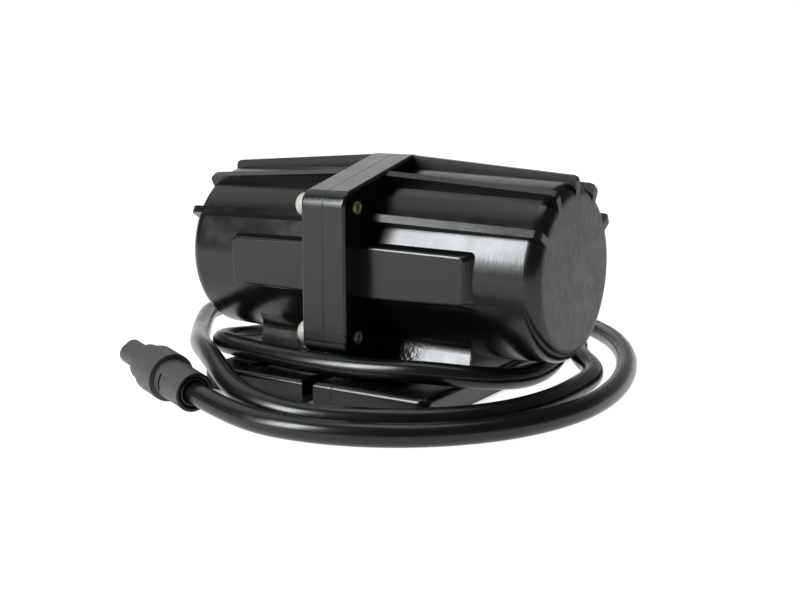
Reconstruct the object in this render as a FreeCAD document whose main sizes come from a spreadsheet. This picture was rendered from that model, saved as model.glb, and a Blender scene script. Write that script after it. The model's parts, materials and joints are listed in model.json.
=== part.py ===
# Twin-drum eccentric vibration motor, 12 V DC, with its supply cable and two-pole plug.
# Row frame: origin on the ground in the middle of the feet, +X along the rotor, +Z up.
import FreeCAD, Part
import Sketcher
import math
import os

Vector = FreeCAD.Vector
Rotation = FreeCAD.Rotation
Sketch = Sketcher.Constraint
doc = FreeCAD.newDocument("vibration_motor")
sheet = doc.addObject("Spreadsheet::Sheet", "Sizes")
nodes = []


# ---------------------------------------------------------------- sizes and expressions
class Size:
    """A value of the sheet, or a sum of them, that knows its number and its expression."""

    def __init__(self, text, value):
        self.text = text
        self.value = value

    def _join(self, sign, other, value):
        return Size("(%s %s %s)" % (self.text, sign, text_of(other)), value)

    def __add__(self, other):
        return self._join("+", other, self.value + number_of(other))

    def __sub__(self, other):
        return self._join("-", other, self.value - number_of(other))

    def __mul__(self, other):
        return self._join("*", other, self.value * number_of(other))

    def __truediv__(self, other):
        return self._join("/", other, self.value / number_of(other))

    def __neg__(self):
        return Size("(0 - %s)" % self.text, -self.value)


def text_of(item):
    return item.text if isinstance(item, Size) else repr(float(item))


def number_of(item):
    return item.value if isinstance(item, Size) else float(item)


row_count = 0


def size(alias, value):
    """Write one driving size into the sheet and return it."""
    global row_count
    row_count += 1
    sheet.set("A%d" % row_count, alias)
    sheet.set("B%d" % row_count, repr(value))
    sheet.setAlias("B%d" % row_count, alias)
    return Size("Sizes." + alias, value)


def bind(thing, prop, item):
    thing.setExpression(prop, text_of(item))


# overall
axis_height = size("axis_height", 57.0)
half_length = size("half_length", 95.0)
gasket_thickness = size("gasket_thickness", 0.8)
joint = gasket_thickness / 2
# flange
flange_face = size("flange_face", 11.75)
flange_width = size("flange_width", 119.5)
flange_shoulder = size("flange_shoulder", 35.6)
flange_apex = size("flange_apex", 50.2)
flange_corner_round = size("flange_corner_round", 7.0)
flange_apex_round = size("flange_apex_round", 12.0)
flange_edge_round = size("flange_edge_round", 1.5)
# drum
drum_root_radius = size("drum_root_radius", 43.0)
drum_tip_radius = size("drum_tip_radius", 40.3)
drum_end_round = size("drum_end_round", 6.6)
# fins
fin_root_radius = size("fin_root_radius", 49.5)
fin_tip_radius = size("fin_tip_radius", 43.7)
fin_thickness = size("fin_thickness", 3.6)
fin_foot_radius = size("fin_foot_radius", 33.8)
fin_span_angle = size("fin_span_angle", 120.0)
fin_end_round = size("fin_end_round", 2.6)
fin_count = 5
# side pads
pad_root_reach = size("pad_root_reach", 47.25)
pad_tip_reach = size("pad_tip_reach", 45.5)
pad_root_half = size("pad_root_half", 12.0)
pad_tip_half = size("pad_tip_half", 10.8)
pad_end = size("pad_end", 63.2)
pad_base_depth = size("pad_base_depth", 36.0)
pad_base_root_half = size("pad_base_root_half", 14.0)
pad_base_tip_half = size("pad_base_tip_half", 13.0)
pad_base_end = size("pad_base_end", 68.0)
pad_corner_round = size("pad_corner_round", 3.0)
pad_edge_round = size("pad_edge_round", 1.5)
# pedestal and foot
foot_inset = size("foot_inset", 3.0)
foot_end = size("foot_end", 61.0)
foot_half_width = size("foot_half_width", 72.3)
foot_thickness = size("foot_thickness", 10.6)
foot_corner_round = size("foot_corner_round", 5.0)
foot_edge_round = size("foot_edge_round", 2.2)
pedestal_end = size("pedestal_end", 58.8)
pedestal_low_half = size("pedestal_low_half", 30.8)
pedestal_waist_half = size("pedestal_waist_half", 28.2)
pedestal_waist = size("pedestal_waist", 33.0)
pedestal_top_half = size("pedestal_top_half", 31.4)
pedestal_top = size("pedestal_top", 26.0)
pedestal_waist_round = size("pedestal_waist_round", 9.0)
mount_hole_radius = size("mount_hole_radius", 4.5)
mount_pitch_along = size("mount_pitch_along", 76.0)
mount_pitch_across = size("mount_pitch_across", 114.0)
# cavity and bearing seat
stator_seat_radius = size("stator_seat_radius", 38.1)
stator_seat_depth = size("stator_seat_depth", 36.3)
cavity_radius = size("cavity_radius", 35.5)
end_wall = size("end_wall", 5.5)
bearing_boss_radius = size("bearing_boss_radius", 21.0)
bearing_seat_depth = size("bearing_seat_depth", 10.3)
bearing_cover = size("bearing_cover", 7.0)
# flange screws and caps
screw_pitch_across = size("screw_pitch_across", 99.4)
screw_pitch_up = size("screw_pitch_up", 58.6)
screw_radius = size("screw_radius", 3.0)
screw_head_radius = size("screw_head_radius", 4.5)
screw_head_height = size("screw_head_height", 4.0)
screw_tip_proud = size("screw_tip_proud", 0.5)
screw_gap = size("screw_gap", 0.05)
cap_radius = size("cap_radius", 5.4)
cap_height = size("cap_height", 7.9)
cap_dome = size("cap_dome", 3.6)
# magnets, stator and rotor
stator_wall = size("stator_wall", 2.8)
stator_gap = size("stator_gap", 0.1)
magnet_thickness = size("magnet_thickness", 6.4)
magnet_length = size("magnet_length", 60.0)
magnet_angle = size("magnet_angle", 124.0)
seat_gap = size("seat_gap", 0.1)
air_gap = size("air_gap", 0.7)
core_length = size("core_length", 50.0)
slot_radius = size("slot_radius", 3.1)
slot_mouth = size("slot_mouth", 2.0)
slot_circle = size("slot_circle", 21.5)
slot_count = 12
winding_overhang = size("winding_overhang", 8.0)
winding_inner_radius = size("winding_inner_radius", 14.0)
winding_round = size("winding_round", 2.5)
core_seat_radius = size("core_seat_radius", 8.0)
weight_seat_radius = size("weight_seat_radius", 7.0)
journal_radius = size("journal_radius", 6.0)
shaft_end_gap = size("shaft_end_gap", 0.6)
commutator_radius = size("commutator_radius", 13.0)
commutator_start = size("commutator_start", 35.0)
commutator_end = size("commutator_end", 49.0)
commutator_slit = size("commutator_slit", 0.6)
weight_start = size("weight_start", 55.0)
weight_thickness = size("weight_thickness", 20.0)
weight_radius = size("weight_radius", 32.0)
weight_hub_radius = size("weight_hub_radius", 13.5)
weight_screw_radius = size("weight_screw_radius", 3.0)
# bearings
bearing_width = size("bearing_width", 10.0)
bearing_outer_radius = size("bearing_outer_radius", 15.97)
bearing_race_wall = size("bearing_race_wall", 2.4)
ball_radius = size("ball_radius", 2.8)
ball_gap = size("ball_gap", 0.15)
ball_count = 8
# brush gear
brush_plate_start = size("brush_plate_start", 50.5)
brush_plate_thickness = size("brush_plate_thickness", 2.0)
brush_plate_bore = size("brush_plate_bore", 14.5)
brush_width = size("brush_width", 5.0)
brush_breadth = size("brush_breadth", 8.0)
brush_length = size("brush_length", 13.0)
brush_gap = size("brush_gap", 0.1)
holder_wall = size("holder_wall", 1.2)
holder_length = size("holder_length", 17.0)
spring_thickness = size("spring_thickness", 0.6)
# cable, gland and plug
cable_radius = size("cable_radius", 5.0)
gland_place = size("gland_place", 46.0)
gland_thread_radius = size("gland_thread_radius", 6.5)
gland_flange_radius = size("gland_flange_radius", 9.5)
gland_flange_height = size("gland_flange_height", 5.0)
gland_boot_radius = size("gland_boot_radius", 7.5)
gland_length = size("gland_length", 22.0)
gland_bore_gap = size("gland_bore_gap", 0.05)
cable_end_gap = size("cable_end_gap", 0.05)
plug_boot_radius = size("plug_boot_radius", 8.8)
plug_boot_length = size("plug_boot_length", 13.0)
plug_mouth_radius = size("plug_mouth_radius", 6.9)
plug_mouth_depth = size("plug_mouth_depth", 8.0)
plug_collar_radius = size("plug_collar_radius", 11.0)
plug_collar_length = size("plug_collar_length", 14.0)
plug_barrel_radius = size("plug_barrel_radius", 9.5)
plug_barrel_length = size("plug_barrel_length", 9.0)
plug_tongue_length = size("plug_tongue_length", 16.0)
plug_tongue_half = size("plug_tongue_half", 5.9)
plug_tongue_top = size("plug_tongue_top", 6.4)
plug_tongue_low = size("plug_tongue_low", 0.5)
plug_tongue_round = size("plug_tongue_round", 4.6)
plug_pin_radius = size("plug_pin_radius", 1.8)
plug_pin_length = size("plug_pin_length", 9.0)
plug_pin_offset = size("plug_pin_offset", 4.2)


# ---------------------------------------------------------------- modelling helpers
def plane(body, role):
    return [f for f in body.Origin.OriginFeatures if f.Role == role][0]


def new_body(name):
    body = doc.addObject("PartDesign::Body", name)
    body.Label = name
    nodes.append(body)
    return body


def new_sketch(body, name, role, offset=0.0, turn_about_x=0.0):
    """A sketch on one of the body's own planes, moved along the plane's normal."""
    sketch = body.newObject("Sketcher::SketchObject", name)
    sketch.AttachmentSupport = [(plane(body, role), "")]
    sketch.MapMode = "FlatFace"
    turn = Rotation(Vector(1, 0, 0), number_of(turn_about_x))
    sketch.AttachmentOffset = FreeCAD.Placement(Vector(0, 0, number_of(offset)), turn)
    if isinstance(offset, Size):
        sketch.setExpression("AttachmentOffset.Base.z", offset.text)
    if isinstance(turn_about_x, Size):
        sketch.setExpression("AttachmentOffset.Rotation.Angle", turn_about_x.text)
    return sketch


def place_vertex(sketch, line, end, axis, item):
    """Tie one coordinate of a vertex to the sketch's origin."""
    if not isinstance(item, Size) and item == 0:
        sketch.addConstraint(Sketch("PointOnObject", line, end, -2 if axis == "DistanceX" else -1))
        return
    index = sketch.addConstraint(Sketch(axis, -1, 1, line, end, number_of(item)))
    if isinstance(item, Size):
        sketch.setExpression("Constraints[%d]" % index, item.text)


def polygon(sketch, points):
    """A closed outline of straight lines whose corners follow the sheet."""
    count = len(points)
    spots = [Vector(number_of(x), number_of(y), 0) for x, y in points]
    for k in range(count):
        sketch.addGeometry(Part.LineSegment(spots[k], spots[(k + 1) % count]), False)
    for k in range(count):
        sketch.addConstraint(Sketch("Coincident", k, 2, (k + 1) % count, 1))
    for k, (x, y) in enumerate(points):
        place_vertex(sketch, k, 1, "DistanceX", x)
        place_vertex(sketch, k, 1, "DistanceY", y)


def circles(sketch, centres, radius):
    for x, y in centres:
        spot = Vector(number_of(x), number_of(y), 0)
        k = sketch.addGeometry(Part.Circle(spot, Vector(0, 0, 1), number_of(radius)), False)
        place_vertex(sketch, k, 3, "DistanceX", x)
        place_vertex(sketch, k, 3, "DistanceY", y)
        index = sketch.addConstraint(Sketch("Radius", k, number_of(radius)))
        if isinstance(radius, Size):
            sketch.setExpression("Constraints[%d]" % index, radius.text)


def pad(body, sketch, name, length, midplane=False):
    feature = body.newObject("PartDesign::Pad", name)
    feature.Profile = sketch
    feature.Length = number_of(length)
    bind(feature, "Length", length)
    feature.Midplane = midplane
    doc.recompute()
    return feature


def pocket(body, sketch, name, length):
    feature = body.newObject("PartDesign::Pocket", name)
    feature.Profile = sketch
    feature.Length = number_of(length)
    bind(feature, "Length", length)
    feature.Reversed = True
    doc.recompute()
    return feature


def turned(body, sketch, name, kind="PartDesign::Revolution"):
    feature = body.newObject(kind, name)
    feature.Profile = sketch
    feature.ReferenceAxis = (sketch, ["H_Axis"])
    feature.Angle = 360.0
    doc.recompute()
    return feature


def dress(body, base, name, chosen, radius, kind="PartDesign::Fillet"):
    """Round the edges of the last feature that pass the test."""
    names = []
    for k, edge in enumerate(base.Shape.Edges):
        if chosen(edge):
            names.append("Edge%d" % (k + 1))
    if not names:
        raise RuntimeError("no edges for " + name)
    feature = body.newObject(kind, name)
    feature.Base = (base, names)
    if kind == "PartDesign::Fillet":
        feature.Radius = number_of(radius)
        bind(feature, "Radius", radius)
    else:
        feature.Size = number_of(radius)
        bind(feature, "Size", radius)
    doc.recompute()
    if "Invalid" in feature.State or feature.Shape.isNull():
        raise RuntimeError("the edges of %s could not be rounded" % name)
    return feature


def around_axis(body, originals, name, count, angle=360.0):
    """Repeat features about the body's X axis."""
    pattern = body.newObject("PartDesign::PolarPattern", name)
    pattern.Originals = originals
    pattern.Axis = (plane(body, "X_Axis"), [""])
    pattern.Occurrences = count
    pattern.Angle = number_of(angle)
    if isinstance(angle, Size):
        bind(pattern, "Angle", angle)
    body.Tip = pattern
    doc.recompute()
    return pattern


def on_axis(thing):
    """Lift a piece modelled about the X axis to the motor's axis."""
    thing.Placement = FreeCAD.Placement(Vector(0, 0, axis_height.value), thing.Placement.Rotation)
    bind(thing, "Placement.Base.z", axis_height)


def along_x(name, radius, start, length, angle=None):
    """A cylinder on the motor's axis, as a Part primitive."""
    piece = doc.addObject("Part::Cylinder", name)
    bind(piece, "Radius", radius)
    bind(piece, "Height", length)
    piece.Placement = FreeCAD.Placement(Vector(0, 0, 0), Rotation(Vector(0, 1, 0), 90))
    bind(piece, "Placement.Base.x", start)
    bind(piece, "Placement.Base.z", axis_height)
    if angle is not None:
        bind(piece, "Angle", angle)
    return piece


def box(name, low, extent):
    """A block given by its low corner and its extent, in the row frame."""
    piece = doc.addObject("Part::Box", name)
    for prop, item in zip(("Length", "Width", "Height"), extent):
        bind(piece, prop, item)
    for letter, item in zip("xyz", low):
        bind(piece, "Placement.Base." + letter, item)
    return piece


def cut(name, base, tool):
    piece = doc.addObject("Part::Cut", name)
    piece.Base = base
    piece.Tool = tool
    return piece


def fuse(name, pieces):
    piece = doc.addObject("Part::MultiFuse", name)
    piece.Shapes = pieces
    return piece


def group(name, pieces):
    """Several separate solids that share one node."""
    piece = doc.addObject("Part::Compound", name)
    piece.Links = pieces
    return piece


def node(piece):
    piece.Label = piece.Name
    nodes.append(piece)
    return piece


def parallel_to(edge, direction):
    if edge.Curve.TypeId != "Part::GeomLine":
        return False
    return abs(abs(edge.Curve.Direction.dot(direction)) - 1) < 1e-6


def near(a, b):
    return abs(a - number_of(b)) < 0.02


AXIS_X = Vector(1, 0, 0)
AXIS_Z = Vector(0, 0, 1)
screw_spots = [(sy * 1.0, sz * 1.0) for sy in (-1, 1) for sz in (-1, 1)]


# ---------------------------------------------------------------- the two cast halves
def flange_outline(sketch):
    half = flange_width / 2
    polygon(sketch, [(-half, -flange_shoulder), (-half, flange_shoulder), (0, flange_apex),
                     (half, flange_shoulder), (half, -flange_shoulder), (0, -flange_apex)])


def flange_corner(edge):
    return parallel_to(edge, AXIS_X) and abs(edge.CenterOfMass.y) > 1


def flange_ridge(edge):
    return parallel_to(edge, AXIS_X) and abs(edge.CenterOfMass.y) < 1


def screw_centres():
    return [(screw_pitch_across / 2 * sy, screw_pitch_up / 2 * sz) for sy, sz in screw_spots]


def housing(name, quarter_turns, screw_hole_radius):
    """One half of the casing: flange, finned drum, side pads, pedestal and foot."""
    body = new_body(name)
    outline = new_sketch(body, name + "_flange_outline", "YZ_Plane", joint)
    flange_outline(outline)
    last = pad(body, outline, name + "_flange", flange_face - joint)
    last = dress(body, last, name + "_flange_corners", flange_corner, flange_corner_round)
    last = dress(body, last, name + "_flange_ridge", flange_ridge, flange_apex_round)
    last = dress(body, last, name + "_flange_rim",
                 lambda e: near(e.CenterOfMass.x, flange_face), flange_edge_round)

    foot_and_pedestal(body, name)

    profile = new_sketch(body, name + "_drum_profile", "XZ_Plane")
    polygon(profile, [(joint, 0), (joint, drum_root_radius), (flange_face, drum_root_radius),
                      (half_length, drum_tip_radius), (half_length, 0)])
    last = turned(body, profile, name + "_drum")
    last = dress(body, last, name + "_drum_end",
                 lambda e: near(e.CenterOfMass.x, half_length), drum_end_round)

    side_pads(body, name)

    blade = new_sketch(body, name + "_fin_profile", "XZ_Plane", 0.0, -(fin_span_angle / 2))
    polygon(blade, [(flange_face - 1, fin_foot_radius), (flange_face - 1, fin_root_radius),
                    (half_length - fin_end_round, fin_tip_radius),
                    (half_length - fin_end_round * 0.293, fin_tip_radius - fin_end_round * 0.293),
                    (half_length, fin_tip_radius - fin_end_round), (half_length, fin_foot_radius)])
    fin = pad(body, blade, name + "_fin", fin_thickness, midplane=True)
    around_axis(body, [fin], name + "_fins", fin_count, fin_span_angle)

    hollow = new_sketch(body, name + "_cavity_profile", "XZ_Plane")
    seat_floor = half_length - bearing_cover
    seat_mouth = seat_floor - bearing_seat_depth
    bearing_bore = bearing_outer_radius + seat_gap * 0.3
    polygon(hollow, [(0.1, 0), (0.1, stator_seat_radius), (stator_seat_depth, stator_seat_radius),
                     (stator_seat_depth, cavity_radius), (half_length - end_wall, cavity_radius),
                     (half_length - end_wall, bearing_boss_radius), (seat_mouth, bearing_boss_radius),
                     (seat_mouth, bearing_bore), (seat_floor, bearing_bore), (seat_floor, 0)])
    turned(body, hollow, name + "_cavity", "PartDesign::Groove")

    holes = new_sketch(body, name + "_screw_spots", "YZ_Plane", joint - 0.1)
    circles(holes, screw_centres(), screw_hole_radius)
    pocket(body, holes, name + "_screw_holes", flange_face + 1)

    feet = new_sketch(body, name + "_mount_spots", "XY_Plane", -axis_height - 1)
    circles(feet, [(mount_pitch_along / 2, mount_pitch_across / 2),
                   (mount_pitch_along / 2, -mount_pitch_across / 2)], mount_hole_radius)
    pocket(body, feet, name + "_mount_holes", foot_thickness + 2)
    body.Placement = FreeCAD.Placement(Vector(0, 0, axis_height.value),
                                       Rotation(AXIS_Z, 180.0 * quarter_turns))
    bind(body, "Placement.Base.z", axis_height)
    return body


def side_pads(body, name):
    """Raised pads on the front and the rear of the drum, their faces leaning in towards the end."""
    run = pad_end - flange_face
    low = new_sketch(body, name + "_pad_base", "XZ_Plane", pad_base_depth)
    polygon(low, [(flange_face - 1, -pad_base_root_half), (flange_face - 1, pad_base_root_half),
                  (pad_base_end, pad_base_tip_half), (pad_base_end, -pad_base_tip_half)])
    high = new_sketch(body, name + "_pad_face", "XZ_Plane", pad_root_reach)
    lean = math.degrees(math.atan(number_of((pad_root_reach - pad_tip_reach) / run)))
    high.AttachmentOffset = FreeCAD.Placement(Vector(flange_face.value, 0, pad_root_reach.value),
                                              Rotation(Vector(0, 1, 0), lean))
    high.setExpression("AttachmentOffset.Base.x", flange_face.text)
    high.setExpression("AttachmentOffset.Base.z", pad_root_reach.text)
    slope = (pad_root_reach - pad_tip_reach) / run
    high.setExpression("AttachmentOffset.Rotation.Angle", "atan(%s)" % slope.text)
    polygon(high, [(-1, -pad_root_half), (-1, pad_root_half), (run, pad_tip_half),
                   (run, -pad_tip_half)])
    loft = body.newObject("PartDesign::AdditiveLoft", name + "_front_pad")
    loft.Profile = low
    loft.Sections = [high]
    doc.recompute()
    pair = body.newObject("PartDesign::Mirrored", name + "_side_pads")
    pair.Originals = [loft]
    pair.MirrorPlane = (plane(body, "XZ_Plane"), [""])
    body.Tip = pair
    doc.recompute()
    last = dress(body, pair, name + "_pad_corners", pad_corner, pad_corner_round)
    return dress(body, last, name + "_pad_rims", pad_rim, pad_edge_round)


def pad_corner(edge):
    spot = edge.CenterOfMass
    past_drum = pad_end.value - 1 < spot.x < pad_base_end.value + 1
    across = abs(spot.z) > pad_tip_half.value - 1 and abs(spot.z) < pad_base_tip_half.value + 1
    return past_drum and across and edge.Length > 2 and 37 < abs(spot.y) < pad_tip_reach.value - 0.2


def pad_rim(edge):
    """Edges round a pad's flat face."""
    spot = edge.CenterOfMass
    face = pad_root_reach.value - (spot.x - flange_face.value) * (
        (pad_root_reach.value - pad_tip_reach.value) / (pad_end.value - flange_face.value))
    along = flange_face.value + 0.5 < spot.x < pad_end.value + 0.3
    return along and abs(abs(spot.y) - face) < 0.15 and abs(spot.z) < pad_root_half.value + 0.5


def foot_and_pedestal(body, name):
    """The foot plate, and the pedestal that flares into the underside of the drum."""
    top = foot_thickness - axis_height
    plate = new_sketch(body, name + "_foot_profile", "YZ_Plane", foot_inset)
    polygon(plate, [(-foot_half_width, -axis_height), (-foot_half_width, top),
                    (foot_half_width, top), (foot_half_width, -axis_height)])
    last = pad(body, plate, name + "_foot", foot_end - foot_inset)
    last = dress(body, last, name + "_foot_corners", foot_corner, foot_corner_round)
    last = dress(body, last, name + "_foot_rim", foot_rim, foot_edge_round)
    stand = new_sketch(body, name + "_pedestal_profile", "YZ_Plane", foot_inset)
    polygon(stand, [(-pedestal_low_half, top - 1), (-pedestal_low_half, top),
                    (-pedestal_waist_half, -pedestal_waist), (-pedestal_top_half, -pedestal_top),
                    (pedestal_top_half, -pedestal_top), (pedestal_waist_half, -pedestal_waist),
                    (pedestal_low_half, top), (pedestal_low_half, top - 1)])
    last = pad(body, stand, name + "_pedestal", pedestal_end - foot_inset)
    return dress(body, last, name + "_pedestal_waist", waist_edge, pedestal_waist_round)


def waist_edge(edge):
    spot = edge.CenterOfMass
    low = near(spot.z, -pedestal_waist)
    return parallel_to(edge, AXIS_X) and low and near(abs(spot.y), pedestal_waist_half)


def foot_corner(edge):
    spot = edge.CenterOfMass
    return parallel_to(edge, AXIS_Z) and near(spot.x, foot_end) and near(abs(spot.y), foot_half_width)


def foot_rim(edge):
    spot = edge.CenterOfMass
    outer = abs(spot.y) > pedestal_low_half.value + 1
    return near(spot.z, foot_thickness - axis_height) and outer


housing("right_housing", 0, screw_radius + screw_gap)
left_housing = housing("left_housing", 1, screw_radius + screw_gap * 4)
gland_hole = new_sketch(left_housing, "gland_hole_spot", "XZ_Plane", 20.0)
circles(gland_hole, [(gland_place, 0)], gland_thread_radius + seat_gap)
pocket(left_housing, gland_hole, "gland_hole", 40.0)
doc.recompute()


# ---------------------------------------------------------------- joint, screws and caps
def gasket():
    body = new_body("flange_gasket")
    outline = new_sketch(body, "gasket_outline", "YZ_Plane", -joint)
    flange_outline(outline)
    last = pad(body, outline, "gasket_sheet", gasket_thickness)
    last = dress(body, last, "gasket_corners", flange_corner, flange_corner_round)
    dress(body, last, "gasket_ridges", flange_ridge, flange_apex_round)
    bores = new_sketch(body, "gasket_bore_spot", "YZ_Plane", -gasket_thickness)
    circles(bores, [(0, 0)], stator_seat_radius)
    pocket(body, bores, "gasket_bore", gasket_thickness * 2)
    holes = new_sketch(body, "gasket_hole_spots", "YZ_Plane", -gasket_thickness)
    circles(holes, screw_centres(), screw_radius + screw_gap * 4)
    pocket(body, holes, "gasket_holes", gasket_thickness * 2)
    on_axis(body)


def across_x(name, radius, start, length, y, z):
    """A cylinder parallel to the axis at a screw's place."""
    piece = along_x(name, radius, start, length)
    bind(piece, "Placement.Base.y", y)
    bind(piece, "Placement.Base.z", axis_height + z)
    return piece


def flange_fasteners():
    screws = []
    caps = []
    for k, (y, z) in enumerate(screw_centres()):
        tag = str(k + 1)
        head_start = -flange_face - screw_head_height
        shank = across_x("shank_" + tag, screw_radius, -flange_face,
                         flange_face * 2 + screw_tip_proud, y, z)
        head = across_x("head_" + tag, screw_head_radius, head_start, screw_head_height, y, z)
        screws.append(fuse("flange_screw_" + tag, [shank, head]))
        outer = across_x("cap_outer_" + tag, cap_radius, -flange_face - cap_height, cap_height, y, z)
        dome = doc.addObject("Part::Fillet", "cap_dome_" + tag)
        doc.recompute()
        dome.Base = outer
        end = [i + 1 for i, e in enumerate(outer.Shape.Edges)
               if near(e.CenterOfMass.x, -flange_face - cap_height)]
        dome.Edges = [(end[0], cap_dome.value, cap_dome.value)]
        inner = across_x("cap_inner_" + tag, screw_head_radius + seat_gap,
                         -flange_face - screw_head_height - seat_gap,
                         screw_head_height + seat_gap * 2, y, z)
        caps.append(cut("screw_cap_" + tag, dome, inner))
    node(group("flange_screws", screws))
    node(group("screw_caps", caps))


gasket()
flange_fasteners()


# ---------------------------------------------------------------- stator
def stator():
    radius = stator_seat_radius - stator_gap
    length = (stator_seat_depth - seat_gap) * 2
    shell = along_x("stator_outside", radius, -length / 2, length)
    bore = along_x("stator_bore", radius - stator_wall, -length / 2 - 1, length + 2)
    node(cut("stator_ring", shell, bore))
    outer = radius - stator_wall - seat_gap
    arcs = []
    for k, middle in enumerate((0, 180)):
        block = along_x("magnet_block_%d" % k, outer, -magnet_length / 2, magnet_length, magnet_angle)
        hollow = along_x("magnet_hollow_%d" % k, outer - magnet_thickness,
                         -magnet_length / 2 - 1, magnet_length + 2)
        start = Rotation(Vector(0, 0, 1), middle + 90 - magnet_angle.value / 2)
        block.Placement.Rotation = Rotation(Vector(0, 1, 0), 90).multiply(start)
        arcs.append(cut("magnet_%d" % (k + 1), block, hollow))
    node(group("magnets", arcs))
    return outer - magnet_thickness


bore_radius = stator()


# ---------------------------------------------------------------- rotor
def rotor_shaft():
    body = new_body("rotor_shaft")
    profile = new_sketch(body, "shaft_profile", "XZ_Plane")
    seat_mouth = half_length - bearing_cover - bearing_seat_depth + seat_gap * 2
    end = half_length - bearing_cover - shaft_end_gap
    core_end = commutator_end + 2
    polygon(profile, [(-end, 0), (-end, journal_radius), (-seat_mouth, journal_radius),
                      (-seat_mouth, weight_seat_radius), (-core_end, weight_seat_radius),
                      (-core_end, core_seat_radius), (core_end, core_seat_radius),
                      (core_end, weight_seat_radius), (seat_mouth, weight_seat_radius),
                      (seat_mouth, journal_radius), (end, journal_radius), (end, 0)])
    last = turned(body, profile, "shaft_steps")
    dress(body, last, "shaft_ends", lambda e: near(abs(e.CenterOfMass.x), end), size_of_chamfer,
          "PartDesign::Chamfer")
    on_axis(body)


def armature():
    body = new_body("armature_core")
    outer = bore_radius - air_gap
    disc = new_sketch(body, "core_outline", "YZ_Plane", -core_length / 2)
    circles(disc, [(0, 0)], outer)
    pad(body, disc, "core_stack", core_length)
    bore = new_sketch(body, "core_bore_spot", "YZ_Plane", -core_length / 2 - 1)
    circles(bore, [(0, 0)], core_seat_radius + running_fit)
    pocket(body, bore, "core_bore", core_length + 2)
    eye = new_sketch(body, "slot_eye_spot", "YZ_Plane", -core_length / 2 - 1)
    circles(eye, [(0, slot_circle)], slot_radius)
    eyes = pocket(body, eye, "slot_eye", core_length + 2)
    gap = new_sketch(body, "slot_mouth_outline", "YZ_Plane", -core_length / 2 - 1)
    polygon(gap, [(-slot_mouth / 2, slot_circle), (-slot_mouth / 2, outer + 1),
                  (slot_mouth / 2, outer + 1), (slot_mouth / 2, slot_circle)])
    mouths = pocket(body, gap, "slot_mouth_cut", core_length + 2)
    around_axis(body, [eyes, mouths], "core_slots", slot_count)
    on_axis(body)

    coils = new_body("armature_winding")
    wire = new_sketch(coils, "coil_side_spot", "YZ_Plane", -core_length / 2 - 1)
    circles(wire, [(0, slot_circle)], slot_radius - seat_gap)
    side = pad(coils, wire, "coil_side", core_length + 2)
    around_axis(coils, [side], "coil_sides", slot_count)
    for k, start in enumerate((-core_length / 2 - winding_overhang, core_length / 2 + 0.2)):
        ring = new_sketch(coils, "end_turn_profile_%d" % k, "XZ_Plane")
        top = slot_circle + slot_radius
        stop = start + winding_overhang - 0.2
        polygon(ring, [(start, winding_inner_radius), (start, top), (stop, top),
                       (stop, winding_inner_radius)])
        last = turned(coils, ring, "end_turns_%d" % k)
    far = core_length / 2 + winding_overhang
    dress(coils, last, "end_turn_rounds",
          lambda e: near(abs(e.CenterOfMass.x), far), winding_round)
    on_axis(coils)


def commutator():
    body = new_body("commutator")
    disc = new_sketch(body, "commutator_outline", "YZ_Plane", commutator_start)
    circles(disc, [(0, 0)], commutator_radius)
    circles(disc, [(0, 0)], core_seat_radius + running_fit)
    pad(body, disc, "commutator_barrel", commutator_end - commutator_start)
    slit = new_sketch(body, "commutator_slit_outline", "YZ_Plane", commutator_start - 1)
    polygon(slit, [(-commutator_slit / 2, commutator_radius - 1.2),
                   (-commutator_slit / 2, commutator_radius + 1),
                   (commutator_slit / 2, commutator_radius + 1),
                   (commutator_slit / 2, commutator_radius - 1.2)])
    first = pocket(body, slit, "commutator_slit_cut", commutator_end - commutator_start + 2)
    around_axis(body, [first], "commutator_slits", slot_count)
    on_axis(body)


def weight(name, side):
    """A half-disc eccentric on the shaft, clamped by a set screw above the bore."""
    start = weight_start if side > 0 else -weight_start - weight_thickness
    sector = along_x(name + "_sector", weight_radius, start, weight_thickness, 180)
    sector.Placement.Rotation = Rotation(Vector(0, 1, 0), 90).multiply(Rotation(AXIS_Z, -90))
    hub = along_x(name + "_hub", weight_hub_radius, start, weight_thickness)
    bore = along_x(name + "_bore", weight_seat_radius + running_fit, start - 1, weight_thickness + 2)
    tap = set_screw(name + "_tap", start, weight_screw_radius + running_fit, weight_hub_radius)
    tools = fuse(name + "_openings", [bore, tap])
    node(cut(name, fuse(name + "_blank", [sector, hub]), tools))
    return set_screw(name + "_set_screw", start, weight_screw_radius, weight_hub_radius - 1.5)


def set_screw(name, start, radius, top):
    piece = doc.addObject("Part::Cylinder", name)
    bind(piece, "Radius", radius)
    bind(piece, "Height", top - weight_seat_radius)
    bind(piece, "Placement.Base.x", start + weight_thickness / 2)
    bind(piece, "Placement.Base.z", axis_height + weight_seat_radius + running_fit)
    return piece


running_fit = size("running_fit", 0.02)
size_of_chamfer = size("shaft_chamfer", 0.8)
rotor_shaft()
armature()
commutator()
screws = [weight("left_weight", -1), weight("right_weight", 1)]
node(group("weight_screws", screws))


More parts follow.
